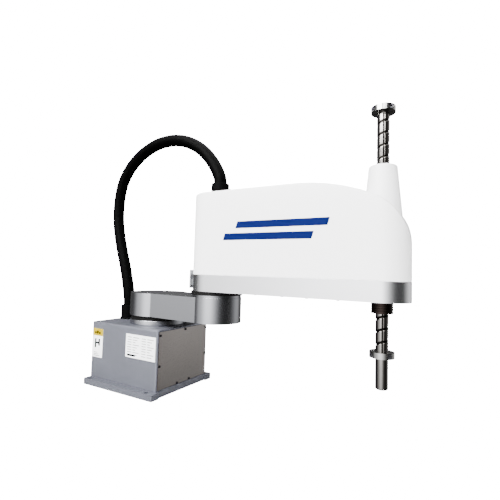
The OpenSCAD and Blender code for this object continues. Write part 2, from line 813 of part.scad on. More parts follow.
module ball_nut() color([0.45, 0.46, 0.48]) at_shaft() {
    translate([0, 0, link2_z + spline_nut_h + 0.5]) ring(nut_body_r, shaft_d / 2 + fit_gap, ball_nut_h);
}

module z_pulley() color([0.70, 0.71, 0.73]) at_shaft() {
    translate([0, 0, z_belt_z]) pulley(nut_pulley_r, belt_w, nut_body_r);
}

module shaft() color([0.48, 0.48, 0.49]) at_shaft() {
    r = shaft_d / 2;
    difference() {
        translate([0, 0, shaft_z]) {
            cylinder(r1 = r - shaft_chamfer, r2 = r, h = shaft_chamfer);
            translate([0, 0, shaft_chamfer]) cylinder(r = r, h = shaft_len - 2 * shaft_chamfer);
            translate([0, 0, shaft_len - shaft_chamfer])
                cylinder(r1 = r, r2 = r - shaft_chamfer, h = shaft_chamfer);
        }
        translate([0, 0, shaft_z - 1]) cylinder(r = shaft_hole_d / 2, h = shaft_len + 2);
        // relief between the plain tool end and the grooved length
        translate([0, 0, shaft_z + tool_end_len]) ring(shaft_d, r - relief_depth, relief_w);
    }
}

// Two-piece clamp collar: two half rings with a slit, drilled for one screw on each side
module clamp_collar() {
    difference() {
        ring(collar_r, shaft_d / 2, collar_h);
        translate([-collar_r - 1, -collar_slit / 2, -1]) cube([2 * collar_r + 2, collar_slit, collar_h + 2]);
        for (side = [-1, 1])
            translate([side * collar_screw_x, -collar_r, collar_h / 2]) rotate([-90, 0, 0]) {
                cylinder(r = 2, h = 2 * collar_r, $fn = fine_fn);
                cylinder(r = 3.4, h = collar_r - collar_seat, $fn = fine_fn);
            }
    }
}

module collar_screws() {
    for (side = [-1, 1])
        translate([side * collar_screw_x, -collar_seat, collar_h / 2]) rotate([90, 0, 0])
            cap_screw(3.8, 3.5, 2 * collar_seat);
}

module top_collar() color([0.85, 0.85, 0.86]) at_shaft() {
    translate([0, 0, shaft_z + shaft_len - collar_h]) clamp_collar();
}

module top_collar_screws() color([0.12, 0.12, 0.13]) at_shaft() {
    translate([0, 0, shaft_z + shaft_len - collar_h]) collar_screws();
}

module lower_collar() color([0.70, 0.70, 0.70]) at_shaft() {
    translate([0, 0, lower_collar_z]) clamp_collar();
}

module lower_collar_screws() color([0.12, 0.12, 0.13]) at_shaft() {
    translate([0, 0, lower_collar_z]) collar_screws();
}

base_housing();
base_front_cover();
base_front_screws();
base_rear_panel();
rear_panel_screws();
power_connector();
signal_connector();
air_couplings();
ground_screw();
rating_label();
caution_label();
shoulder_ring();
j1_seal();
j1_motor();
j1_reducer();
conduit_base_fitting();
conduit();
link1_casting();
j1_output();
link1_bottom_cover();
link1_cover_screws();
j2_output();
j2_seal();
link2_frame();
link2_cover();
cover_cone();
frame_screws();
rear_bracket();
conduit_arm_fitting();
cover_stripe();
j2_motor();
j2_reducer();
z_motor();
r_motor();
motor_bracket();
z_belt();
r_belt();
spline_bearing();
screw_bearing();
cone_bushing();
z_motor_pulley();
r_motor_pulley();
spline_nut();
r_pulley();
nut_collar();
ball_nut();
z_pulley();
shaft();
top_collar();
top_collar_screws();
lower_collar();
lower_collar_screws();
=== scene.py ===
"""Visual model of a four-axis SCARA robot arm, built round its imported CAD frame.

Lengths are metres in the CAD frame. MM turns a length that is easier to read in millimetres into metres.
"""

import json
import math

import bmesh
import bpy
from mathutils import Matrix, Vector

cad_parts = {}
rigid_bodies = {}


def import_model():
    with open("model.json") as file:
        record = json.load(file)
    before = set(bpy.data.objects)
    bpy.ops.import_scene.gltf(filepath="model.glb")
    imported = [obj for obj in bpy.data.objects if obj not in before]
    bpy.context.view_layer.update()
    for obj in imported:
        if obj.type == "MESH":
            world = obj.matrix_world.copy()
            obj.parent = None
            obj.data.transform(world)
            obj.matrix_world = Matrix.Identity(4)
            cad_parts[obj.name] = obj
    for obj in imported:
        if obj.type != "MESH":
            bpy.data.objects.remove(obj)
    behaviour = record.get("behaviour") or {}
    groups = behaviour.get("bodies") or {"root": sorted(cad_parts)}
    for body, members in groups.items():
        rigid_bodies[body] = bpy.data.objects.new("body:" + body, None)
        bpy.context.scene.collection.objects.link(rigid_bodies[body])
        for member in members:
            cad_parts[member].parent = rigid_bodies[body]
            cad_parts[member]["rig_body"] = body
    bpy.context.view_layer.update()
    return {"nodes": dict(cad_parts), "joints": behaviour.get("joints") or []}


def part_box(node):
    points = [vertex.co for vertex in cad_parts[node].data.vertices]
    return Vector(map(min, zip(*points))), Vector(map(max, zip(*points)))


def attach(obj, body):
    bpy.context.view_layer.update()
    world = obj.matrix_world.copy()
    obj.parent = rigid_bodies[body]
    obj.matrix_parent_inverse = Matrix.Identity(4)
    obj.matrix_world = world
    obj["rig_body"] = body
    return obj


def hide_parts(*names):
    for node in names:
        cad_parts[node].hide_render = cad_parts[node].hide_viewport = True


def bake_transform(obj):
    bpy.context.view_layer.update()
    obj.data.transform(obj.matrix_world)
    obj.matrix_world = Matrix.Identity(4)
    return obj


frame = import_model()

MM = 0.001
JOINTS = {joint["name"]: joint for joint in frame["joints"]}
J2 = Vector(JOINTS["j2_elbow"]["pos_m"])
J3 = Vector(JOINTS["r_spin"]["pos_m"])


# ---- Camera, floor and light ---------------------------------------------

CAMERA_AT = Vector((0.6029, -0.6328, 0.2631))
CAMERA_AZIMUTH = math.radians(29.82)
CAMERA_PITCH = math.radians(3.34)
CAMERA_ROLL = math.radians(1.63)
CAMERA_LENS = 25.9
CAMERA_SENSOR = 36.0


def make_camera():
    """The photograph's viewpoint: just under the forearm's height, looking slightly up."""
    right = Vector((math.cos(CAMERA_AZIMUTH), math.sin(CAMERA_AZIMUTH), 0))
    ahead = Vector((
        -math.sin(CAMERA_AZIMUTH) * math.cos(CAMERA_PITCH),
        math.cos(CAMERA_AZIMUTH) * math.cos(CAMERA_PITCH),
        math.sin(CAMERA_PITCH)))
    up = right.cross(ahead)
    side = math.cos(CAMERA_ROLL) * right + math.sin(CAMERA_ROLL) * up
    top = math.cos(CAMERA_ROLL) * up - math.sin(CAMERA_ROLL) * right
    data = bpy.data.cameras.new("camera")
    data.lens = CAMERA_LENS
    data.sensor_width = CAMERA_SENSOR
    data.clip_start = 0.01
    camera = bpy.data.objects.new("camera", data)
    turn = Matrix((side, top, -ahead)).transposed().to_4x4()
    camera.matrix_world = Matrix.Translation(CAMERA_AT) @ turn
    bpy.context.scene.collection.objects.link(camera)
    bpy.context.scene.camera = camera


def area_light(name, place, aim, size, power):
    data = bpy.data.lights.new(name, "AREA")
    data.shape = "RECTANGLE"
    data.size, data.size_y = size
    data.energy = power
    light = bpy.data.objects.new(name, data)
    light.location = place
    light.rotation_euler = (Vector(aim) - Vector(place)).to_track_quat("-Z", "Y").to_euler()
    bpy.context.scene.collection.objects.link(light)


# Brightness of the studio walls by compass direction, in degrees from +X towards +Y
STUDIO_RING = [
    (-180, 0.1), (-165, 0.12), (-152, 0.6), (-140, 1.6), (-128, 1.8), (-116, 3.2), (-104, 5.0), (-84, 5.0),
    (-68, 2.2), (-54, 0.8), (-40, 0.2), (-26, 0.06), (-8, 0.05), (10, 0.08), (28, 0.5), (48, 1.1), (62, 0.9),
    (76, 0.15), (150, 0.08), (180, 0.1)]
RING_PEAK = 5.0
CEILING = 1.2
SHADE_BELOW = 0.01
WALL_TOP = (0.45, 0.8)              # sines of the angles over which the walls fade into the ceiling
WALL_FOOT = (0.12, 0.4)             # and into the dark below
BACKDROP = 20                       # what the camera itself sees behind the arm
FLOOR_GLOW = 18


def studio_ring(tree):
    """Strength of the walls by direction, fading to an even ceiling above and to dark below."""
    place = tree.nodes.new("ShaderNodeTexCoord")
    split = tree.nodes.new("ShaderNodeSeparateXYZ")
    tree.links.new(place.outputs["Generated"], split.inputs["Vector"])
    compass = tree.nodes.new("ShaderNodeMath")
    compass.operation = "ARCTAN2"
    tree.links.new(split.outputs["Y"], compass.inputs[0])
    tree.links.new(split.outputs["X"], compass.inputs[1])
    share = tree.nodes.new("ShaderNodeMath")
    share.operation = "MULTIPLY_ADD"
    share.inputs[1].default_value = 1 / (2 * math.pi)
    share.inputs[2].default_value = 0.5
    tree.links.new(compass.outputs[0], share.inputs[0])
    walls = tree.nodes.new("ShaderNodeValToRGB")
    stops = walls.color_ramp.elements
    while len(stops) < len(STUDIO_RING):
        stops.new(0.5)
    for stop, (degrees, strength) in zip(stops, STUDIO_RING):
        stop.position = degrees / 360 + 0.5
        stop.color = grey(strength / RING_PEAK)
    tree.links.new(share.outputs[0], walls.inputs["Fac"])
    height = ramp(tree, split.outputs["Z"], grey(1), grey(0), *WALL_TOP)
    depth = ramp(tree, negative(tree, split.outputs["Z"]), grey(1), grey(0.02), *WALL_FOOT)
    above = mix_colour(tree, height, grey(CEILING / RING_PEAK), walls.outputs["Color"])
    return mix_colour(tree, depth, grey(SHADE_BELOW), above)


def negative(tree, source):
    node = tree.nodes.new("ShaderNodeMath")
    node.operation = "MULTIPLY"
    node.inputs[1].default_value = -1
    tree.links.new(source, node.inputs[0])
    return node.outputs[0]


def mix_colour(tree, share, low, high):
    """Goes from the plain colour low to the socket high as share rises from 0 to 1."""
    node = tree.nodes.new("ShaderNodeMix")
    node.data_type = "RGBA"
    tree.links.new(share, node.inputs["Factor"])
    node.inputs[6].default_value = low
    tree.links.new(high, node.inputs[7])
    return node.outputs[2]


def make_light():
    """Three soft lights, and a world that is white for the camera and a ring of soft boxes for all else."""
    aim = (0.2, 0, 0.25)
    area_light("key_light", (-0.3, -1.5, 1.75), aim, (1.6, 1.2), 175)
    area_light("front_light", (1.0, -1.4, 1.7), aim, (1.0, 1.0), 45)
    area_light("top_light", (0.2, 0.3, 2.2), aim, (2.0, 1.6), 50)
    world = bpy.data.worlds.new("studio")
    bpy.context.scene.world = world
    world.use_nodes = True
    tree = world.node_tree
    tree.nodes.clear()
    seen = tree.nodes.new("ShaderNodeBackground")
    seen.inputs["Color"].default_value = (1, 1, 1, 1)
    seen.inputs["Strength"].default_value = BACKDROP
    lighting = tree.nodes.new("ShaderNodeBackground")
    lighting.inputs["Strength"].default_value = RING_PEAK
    tree.links.new(studio_ring(tree), lighting.inputs["Color"])
    path = tree.nodes.new("ShaderNodeLightPath")
    mix = tree.nodes.new("ShaderNodeMixShader")
    out = tree.nodes.new("ShaderNodeOutputWorld")
    tree.links.new(path.outputs["Is Camera Ray"], mix.inputs["Fac"])
    tree.links.new(lighting.outputs[0], mix.inputs[1])
    tree.links.new(seen.outputs[0], mix.inputs[2])
    tree.links.new(mix.outputs[0], out.inputs["Surface"])


def lit_table():
    """White matt sheet that glows towards the camera only, so that the floor fades into the backdrop."""
    material = painted("floor_white", (0.95, 0.95, 0.95), 0, 0.6, 0.0, 3, 0.02)
    tree = material.node_tree
    shader = tree.nodes["Principled BSDF"]
    shader.inputs["Emission Color"].default_value = (1, 1, 1, 1)
    path = tree.nodes.new("ShaderNodeLightPath")
    glow = tree.nodes.new("ShaderNodeMath")
    glow.operation = "MULTIPLY"
    glow.inputs[1].default_value = FLOOR_GLOW
    tree.links.new(path.outputs["Is Camera Ray"], glow.inputs[0])
    tree.links.new(glow.outputs[0], shader.inputs["Emission Strength"])
    return material


def make_floor():
    """A wide pale disc, just under the base. Metal reflects the dark below it, as on a light table."""
    radius = 14
    gap = 0.2 * MM
    mesh = bpy.data.meshes.new("floor")
    bm = bmesh.new()
    bmesh.ops.create_circle(bm, cap_ends=True, segments=96, radius=radius)
    bm.to_mesh(mesh)
    bm.free()
    floor = bpy.data.objects.new("floor", mesh)
    floor.location.z = -gap
    floor.visible_glossy = False
    bpy.context.scene.collection.objects.link(floor)
    mesh.materials.append(lit_table())


# ---- Materials -----------------------------------------------------------

def new_material(name):
    material = bpy.data.materials.new(name)
    material.use_nodes = True
    return material, material.node_tree, material.node_tree.nodes["Principled BSDF"]


def object_noise(tree, scale, detail=3.0, stretch=(1, 1, 1)):
    """Noise in the object's own coordinates, so that it moves with its body."""
    coordinate = tree.nodes.new("ShaderNodeTexCoord")
    mapping = tree.nodes.new("ShaderNodeMapping")
    mapping.inputs["Scale"].default_value = stretch
    noise = tree.nodes.new("ShaderNodeTexNoise")
    noise.inputs["Scale"].default_value = scale
    noise.inputs["Detail"].default_value = detail
    tree.links.new(coordinate.outputs["Object"], mapping.inputs["Vector"])
    tree.links.new(mapping.outputs["Vector"], noise.inputs["Vector"])
    return noise.outputs["Fac"]


def ramp(tree, source, low, high, start=0.3, end=0.7):
    node = tree.nodes.new("ShaderNodeValToRGB")
    node.color_ramp.elements[0].position = start
    node.color_ramp.elements[0].color = low
    node.color_ramp.elements[1].position = end
    node.color_ramp.elements[1].color = high
    tree.links.new(source, node.inputs["Fac"])
    return node.outputs["Color"]


def grey(value):
    return (value, value, value, 1)


def scaled(colour, share):
    return tuple(min(1, c * share) for c in colour) + (1,)


def add_bump(tree, shader, height, strength, distance):
    bump = tree.nodes.new("ShaderNodeBump")
    bump.inputs["Strength"].default_value = strength
    bump.inputs["Distance"].default_value = distance
    tree.links.new(height, bump.inputs["Height"])
    tree.links.new(bump.outputs["Normal"], shader.inputs["Normal"])


def painted(name, colour, metallic, roughness, bump, grain=900, mottle=0.05, coat=0.0, shine=0.5):
    """Paint or moulded plastic: slow mottling in colour, fine grain in roughness and in the surface."""
    material, tree, shader = new_material(name)
    slow = object_noise(tree, 9)
    tree.links.new(ramp(tree, slow, scaled(colour, 1 - mottle), scaled(colour, 1 + mottle)),
                   shader.inputs["Base Color"])
    fine = object_noise(tree, grain, 4)
    tree.links.new(ramp(tree, fine, grey(roughness * 0.85), grey(min(1, roughness * 1.15))),
                   shader.inputs["Roughness"])
    shader.inputs["Metallic"].default_value = metallic
    shader.inputs["Specular IOR Level"].default_value = shine
    shader.inputs["Coat Weight"].default_value = coat
    shader.inputs["Coat Roughness"].default_value = 0.25
    if bump:
        add_bump(tree, shader, fine, bump, 0.15 * MM)
    return material


def machined(name, colour, roughness, stretch=(1, 1, 30), scale=260):
    """Turned or ground metal: fine streaks along the tool's path."""
    material, tree, shader = new_material(name)
    streaks = object_noise(tree, scale, 2, stretch)
    tree.links.new(ramp(tree, streaks, scaled(colour, 0.82), scaled(colour, 1.12)),
                   shader.inputs["Base Color"])
    tree.links.new(ramp(tree, streaks, grey(roughness * 0.75), grey(min(1, roughness * 1.3))),
                   shader.inputs["Roughness"])
    shader.inputs["Metallic"].default_value = 1
    add_bump(tree, shader, streaks, 0.12, 0.05 * MM)
    return material


def grooved_steel(name, colour, roughness, centre, radius):
    """Ground steel, darker where the surface lies deeper than the shaft's outer radius, near black on the
    groove floors.
    """
    # Between these depths below the outer radius, the colour goes from the steel's to near black.
    plain_depth, dark_depth = 0.1 * MM, 0.5 * MM
    groove_dark_colour = (0.012, 0.011, 0.010, 1)
    material = machined(name, colour, roughness, (1, 1, 0.05), 1500)
    tree = material.node_tree
    shader = tree.nodes["Principled BSDF"]
    metal = shader.inputs["Base Color"].links[0].from_socket
    place = tree.nodes.new("ShaderNodeTexCoord")
    flat = tree.nodes.new("ShaderNodeVectorMath")
    flat.operation = "MULTIPLY_ADD"
    flat.inputs[1].default_value = (1, 1, 0)
    flat.inputs[2].default_value = (-centre.x, -centre.y, 0)
    tree.links.new(place.outputs["Object"], flat.inputs[0])
    reach = tree.nodes.new("ShaderNodeVectorMath")
    reach.operation = "LENGTH"
    tree.links.new(flat.outputs["Vector"], reach.inputs[0])
    share = tree.nodes.new("ShaderNodeMapRange")
    share.inputs["From Min"].default_value = radius - dark_depth
    share.inputs["From Max"].default_value = radius - plain_depth
    tree.links.new(reach.outputs["Value"], share.inputs["Value"])
    tinted = mix_colour(tree, share.outputs["Result"], groove_dark_colour, metal)
    tree.links.new(tinted, shader.inputs["Base Color"])
    return material


def woven_sleeve(name):
    """Black braided sleeve: two crossing sets of strands, drawn along the sleeve's own length."""
    material, tree, shader = new_material(name)
    strands_round = 22
    strands_per_metre = 260
    place = tree.nodes.new("ShaderNodeUVMap")
    split = tree.nodes.new("ShaderNodeSeparateXYZ")
    tree.links.new(place.outputs["UV"], split.inputs["Vector"])

    def wave(sign):
        turns = tree.nodes.new("ShaderNodeMath")
        turns.operation = "MULTIPLY"
        turns.inputs[1].default_value = 2 * math.pi * strands_round
        tree.links.new(split.outputs["X"], turns.inputs[0])
        along = tree.nodes.new("ShaderNodeMath")
        along.operation = "MULTIPLY_ADD"
        along.inputs[1].default_value = sign * 2 * math.pi * strands_per_metre
        tree.links.new(split.outputs["Y"], along.inputs[0])
        tree.links.new(turns.outputs[0], along.inputs[2])
        sine = tree.nodes.new("ShaderNodeMath")
        sine.operation = "SINE"
        tree.links.new(along.outputs[0], sine.inputs[0])
        return sine.outputs[0]

    crossed = tree.nodes.new("ShaderNodeMath")
    crossed.operation = "MULTIPLY"
    tree.links.new(wave(1), crossed.inputs[0])
    tree.links.new(wave(-1), crossed.inputs[1])
    shader.inputs["Roughness"].default_value = 0.5
    shader.inputs["Specular IOR Level"].default_value = 0.02
    tree.links.new(ramp(tree, crossed.outputs[0], grey(0.0001), grey(0.0008), 0.0, 0.9),
                   shader.inputs["Base Color"])
    add_bump(tree, shader, crossed.outputs[0], 0.35, 0.25 * MM)
    return material


def make_materials():
    """One material for each of the record's slots, and for link 2's frame a brighter copy of the silver
    paint, whose extra brightness is painted light on its band.
    """
    return {
        "base_casting": painted("base_paint", (0.125, 0.13, 0.155), 0.6, 0.36, 0.2, 1500, 0.04),
        "front_plate": painted("plate_paint", (0.34, 0.315, 0.30), 1, 0.3, 0.25, 1500, 0.06),
        "dark_plate": painted("dark_powder_coat", (0.03, 0.032, 0.035), 0, 0.6, 0.6, 1500, 0.06),
        "black_screw": machined("black_oxide", (0.03, 0.03, 0.033), 0.42, (1, 1, 1), 900),
        "bright_screw": machined("zinc_plate", (0.55, 0.56, 0.58), 0.32, (1, 1, 1), 900),
        "brass_screw": machined("brass", (0.72, 0.52, 0.22), 0.32, (1, 1, 1), 900),
        "black_plastic": painted(
            "black_nylon", (0.0008, 0.0008, 0.0009), 0, 0.5, 0.35, 1500, 0.1, shine=0.02),
        "connector_shell": machined("nickel_shell", (0.52, 0.52, 0.5), 0.3, (1, 20, 1), 500),
        "coupling_blue": painted("blue_nylon", (0.02, 0.08, 0.34), 0, 0.4, 0.2, 1200, 0.06),
        "label_white": painted("label_film", (0.86, 0.87, 0.88), 0, 0.38, 0.05, 700, 0.02),
        "label_yellow": painted("yellow_film", (0.30, 0.215, 0.0), 0, 0.5, 0.05, 700, 0.03, shine=0.02),
        "seal_black": painted("seal_rubber", (0.003, 0.003, 0.003), 0, 0.7, 0.4, 1200, 0.1, shine=0.1),
        "link_paint": painted("silver_paint", (0.32, 0.325, 0.345), 1, 0.24, 0.1, 1500, 0.03),
        # Link 2's frame: the same silver paint made brighter, which is painted light on its band.
        "link_paint_lit_copy": painted("silver_paint_painted_bright", (0.84, 0.845, 0.87), 1, 0.24, 0.1, 1500, 0.02),
        "link_plate": painted("plain_aluminium", (0.4, 0.41, 0.42), 0.95, 0.38, 0.15, 900, 0.05),
        "reducer_steel": machined("reducer_steel", (0.3, 0.3, 0.31), 0.3),
        "motor_black": painted("motor_black", (0.012, 0.012, 0.014), 0.2, 0.45, 0.3, 1200, 0.08),
        "cover_white": painted("cover_white", (0.86, 0.86, 0.865), 0, 0.38, 0.05, 1600, 0.008, coat=0.15),
        "stripe_blue": painted("blue_film", (0.001, 0.004, 0.045), 0, 0.5, 0.05, 700, 0.05, shine=0.03),
        "conduit_black": woven_sleeve("braided_sleeve"),
        "belt_black": painted("belt_rubber", (0.012, 0.012, 0.012), 0, 0.75, 0.3, 1100, 0.1),
        "pulley_metal": machined("pulley_metal", (0.55, 0.56, 0.58), 0.35),
        "nut_steel": machined("nut_steel", (0.32, 0.32, 0.33), 0.3),
        "nut_black": machined("nut_black", (0.03, 0.022, 0.02), 0.4, (1, 1, 40), 300),
        "shaft_steel": grooved_steel("shaft_steel", (0.25, 0.238, 0.225), 0.14, J3, 10 * MM),
        "collar_bright": machined("collar_bright", (0.42, 0.42, 0.41), 0.08, (1, 1, 25), 300),
    }


# ---- Mesh tools ----------------------------------------------------------

SMOOTH_BELOW = math.radians(35)


def finish_mesh(bm, name):
    """Turns a bmesh into an object with smooth faces and sharp edges where its faces meet steeply."""
    bmesh.ops.recalc_face_normals(bm, faces=bm.faces)
    for face in bm.faces:
        face.smooth = True
    for edge in bm.edges:
        if len(edge.link_faces) == 2:
            edge.smooth = edge.calc_face_angle(0) < SMOOTH_BELOW
    mesh = bpy.data.meshes.new(name)
    bm.to_mesh(mesh)
    bm.free()
    piece = bpy.data.objects.new(name, mesh)
    bpy.context.scene.collection.objects.link(piece)
    return piece


def place(piece, slot, body, nodes=(), flatten=True, look=None):
    """Gives a piece its material and its body, and hides the CAD nodes that it stands for."""
    piece.data.materials.clear()
    piece.data.materials.append(MATERIALS[look or slot])
    if flatten:
        normals = piece.modifiers.new("flat_face_normals", "WEIGHTED_NORMAL")
        normals.keep_sharp = True
    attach(piece, body)
    if nodes:
        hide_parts(*nodes)
    return piece


def loft(bm, rings, wrap=False, caps=True):
    """Faces between rings of equal length; wrap joins the last ring to the first."""
    rows = [[bm.verts.new(p) for p in ring] for ring in rings]
    pairs = list(zip(rows, rows[1:]))
    if wrap:
        pairs.append((rows[-1], rows[0]))
    count = len(rows[0])
    for low, high in pairs:
        for i in range(count):
            j = (i + 1) % count
            bm.faces.new((low[i], low[j], high[j], high[i]))
    if caps and not wrap:
        bm.faces.new(list(reversed(rows[0])))
        bm.faces.new(rows[-1])
    return rows


def circle(radius, z, centre, count=72):
    return [Vector((centre.x + radius * math.cos(a), centre.y + radius * math.sin(a), z))
            for a in (2 * math.pi * k / count for k in range(count))]


def link_outline(radius_1, radius_2, length, arc=40):
    """Outline of a link from its first axis: two arcs and their tangents, anticlockwise from the far arc."""
    lean = math.asin((radius_1 - radius_2) / length)
    half = math.pi / 2 - lean
    far = [(length + radius_2 * math.cos(a), radius_2 * math.sin(a))
           for a in (half * (2 * k / arc - 1) for k in range(arc + 1))]
    near = [(radius_1 * math.cos(a), radius_1 * math.sin(a))
            for a in (half + 2 * (math.pi - half) * k / arc for k in range(arc + 1))]
    steps = 12
    sides = []
    for start, end in ((far[-1], near[0]), (near[-1], far[0])):
        sides.append([(start[0] + (end[0] - start[0]) * k / steps, start[1] + (end[1] - start[1]) * k / steps)
                      for k in range(1, steps)])
    return far + sides[0] + near + sides[1]


def welded_copy(node):
    """A bmesh of a CAD node's surface with its split corners joined and its flat faces merged."""
    bm = bmesh.new()
    bm.from_mesh(frame["nodes"][node].data)
    bmesh.ops.remove_doubles(bm, verts=bm.verts, dist=0.002 * MM)
    bmesh.ops.dissolve_limit(bm, angle_limit=math.radians(0.4), verts=bm.verts, edges=bm.edges)
    return bm


def bevel_sharp(bm, width, segments=3, steeper=math.radians(40)):
    sharp = [e for e in bm.edges if len(e.link_faces) == 2 and e.calc_face_angle(0) > steeper
             and e.calc_length() > 0.02 * MM]
    bmesh.ops.bevel(bm, geom=sharp, offset=width, segments=segments, profile=0.5, affect="EDGES",
                    clamp_overlap=True)


def refined(node, slot, width, segments=3, look=None):
    """A piece with the CAD node's exact shape and softly broken edges, which stands for that node."""
    bm = welded_copy(node)
    bevel_sharp(bm, width, segments)
    body = frame["nodes"][node]["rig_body"]
    return place(finish_mesh(bm, node + "_fine"), slot, body, [node], look=look)


def bars(name, rects, y, slot, body, depth=0.05 * MM):
    """Thin printed bars on a face that looks towards -Y. Each rect is (x, z, width, height)."""
    bm = bmesh.new()
    for x, z, width, height in rects:
        ring = [(x, z), (x + width, z), (x + width, z + height), (x, z + height)]
        loft(bm, [[Vector((px, y - d, pz)) for px, pz in ring] for d in (0, depth)])
    return place(finish_mesh(bm, name), slot, body, flatten=False)


MATERIALS = make_materials()
make_camera()
make_floor()
make_light()


# ---- Conduit -------------------------------------------------------------

CONDUIT_D = 27 * MM
CONDUIT_ROUTE = [
    (-101, 1, 165), (-102, 1, 185), (-107, 1, 212), (-121, 2, 260), (-139, 3, 309),
    (-153, 4, 355), (-160, 5, 395), (-159, 5, 434), (-151, 4, 471), (-136, 3, 499),
    (-114, 2, 523), (-84, 0, 543), (-52, -2, 556), (-18, -5, 563), (17, -7, 564),
    (46, -9, 560), (73, -11, 552), (100, -12, 539), (124, -14, 522), (145, -15, 501),
    (161, -16, 479), (171, -17, 460), (174, -17.4, 448), (174, -17.4, 437)]


def smooth_line(points, per_span=16):
    """Catmull-Rom curve through the route's points."""
    line = []
    last = len(points) - 1
    for i in range(last):
        p0, p1, p2, p3 = (points[max(0, min(last, i + k))] for k in (-1, 0, 1, 2))
        for k in range(per_span):
            t = k / per_span
            line.append(0.5 * (2 * p1 + (p2 - p0) * t + (2 * p0 - 5 * p1 + 4 * p2 - p3) * t * t
                               + (3 * p1 - p0 - 3 * p2 + p3) * t ** 3))
    return line + [points[-1]]


def make_conduit():
    """Braided sleeve along the route, in place of the CAD conduit."""
    line = smooth_line([Vector(p) * MM for p in CONDUIT_ROUTE])
    sides = 32
    bm = bmesh.new()
    uv = bm.loops.layers.uv.new("sleeve")
    rings, along = [], [0.0]
    for i, p in enumerate(line):
        ahead = (line[min(i + 1, len(line) - 1)] - line[max(i - 1, 0)]).normalized()
        across = (Vector((0, 1, 0)) - ahead * ahead.y).normalized()
        out = ahead.cross(across)
        rings.append([p + CONDUIT_D / 2 * (math.cos(a) * across + math.sin(a) * out)
                      for a in (2 * math.pi * k / sides for k in range(sides))])
        if i:
            along.append(along[-1] + (p - line[i - 1]).length)
    rows = loft(bm, rings)
    where = {v: (i, k) for i, row in enumerate(rows) for k, v in enumerate(row)}
    for face in bm.faces:
        if len(face.verts) != 4:
            continue
        turn = [where[loop.vert][1] for loop in face.loops]
        wraps = max(turn) - min(turn) > 1
        for loop in face.loops:
            i, k = where[loop.vert]
            loop[uv].uv = ((k + sides if wraps and k == 0 else k) / sides, along[i])
    piece = finish_mesh(bm, "conduit_sleeve")
    piece.data.materials.append(MATERIALS["conduit_black"])
    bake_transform(piece)
    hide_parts("conduit")


make_conduit()
for fitting in ("conduit_base_fitting", "conduit_arm_fitting"):
    refined(fitting, "black_plastic", 0.5 * MM)


# ---- Base ----------------------------------------------------------------

refined("base_housing", "base_casting", 1.2 * MM)
refined("base_front_cover", "front_plate", 0.5 * MM)
refined("shoulder_ring", "link_paint", 1.2 * MM)
refined("j1_seal", "seal_black", 0.8 * MM)
refined("base_rear_panel", "dark_plate", 0.4 * MM)
refined("base_front_screws", "black_screw", 0.2 * MM, 2)
refined("rear_panel_screws", "bright_screw", 0.2 * MM, 2)
refined("ground_screw", "brass_screw", 0.25 * MM, 2)
refined("power_connector", "black_plastic", 0.4 * MM)
refined("signal_connector", "connector_shell", 0.5 * MM)
refined("air_couplings", "coupling_blue", 0.4 * MM)


def rating_lines(low, high):
    """Two columns of ruled lines, each with a short and a longer bar, over one thick bar at the foot."""
    margin, column_pitch = 5 * MM, 42 * MM
    rows, row_pitch, bar_h = 8, 5.2 * MM, 1.2 * MM
    lines = []
    for column in (0, 1):
        left = low.x + margin + column * column_pitch
        for row in range(rows):
            z = high.z - 7 * MM - row * row_pitch
            lines.append((left, z, 12 * MM, bar_h))
            lines.append((left + 16 * MM, z, (18 - 5 * (row % 3)) * MM, bar_h))
    return lines + [(low.x + margin, low.z + 3 * MM, 24 * MM, 4 * MM)]


def caution_figure(low, high):
    """A plain figure of two posts and a crossbar, and three short ruled lines at the foot."""
    middle = (low.x + high.x) / 2
    bar_h, line_h = 4 * MM, 1.1 * MM
    post_w, near_post_h, far_post_h = 5 * MM, 20 * MM, 15 * MM
    figure = [(middle - 9 * MM, high.z - 43 * MM, post_w, near_post_h),
              (middle + 3 * MM, high.z - 38 * MM, post_w, far_post_h),
              (middle - 4 * MM, high.z - 34 * MM, 7 * MM, bar_h)]
    lines = [(low.x + 6 * MM, low.z + (3 + 3.5 * k) * MM, (20 - 4 * k) * MM, line_h) for k in range(3)]
    return figure + lines


def make_labels():
    """Film labels with plain bars in place of lettering and pictures."""
    film, band_h = 0.05 * MM, 16 * MM
    low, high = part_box("rating_label")
    refined("rating_label", "label_white", 0.1 * MM, 1)
    bars("rating_print", rating_lines(low, high), low.y, "black_plastic", "base")
    low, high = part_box("caution_label")
    refined("caution_label", "label_white", 0.1 * MM, 1)
    band = [(low.x, high.z - band_h, high.x - low.x, band_h)]
    bars("caution_band", band, low.y, "label_yellow", "base")
    middle = (low.x + high.x) / 2
    marks = [(middle + (7 * k - 10) * MM, high.z - 12 * MM, 5 * MM, mark_h)
             for k, mark_h in enumerate((5 * MM, 7 * MM, 5 * MM))]
    bars("caution_marks", marks, low.y - film, "black_plastic", "base")
    bars("caution_print", caution_figure(low, high), low.y, "black_plastic", "base")


make_labels()


# ---- Link 1 --------------------------------------------------------------

refined("link1_casting", "link_paint", 1.6 * MM, 4)
refined("link1_bottom_cover", "link_plate", 0.4 * MM)
refined("link1_cover_screws", "bright_screw", 0.2 * MM, 2)
refined("j2_seal", "seal_black", 0.6 * MM)


# ---- Link 2 --------------------------------------------------------------

COVER_TOP = 417.5 * MM
LINK_2_REAR_R = 49.7 * MM
LINK_2_FRONT_R = 44.3 * MM


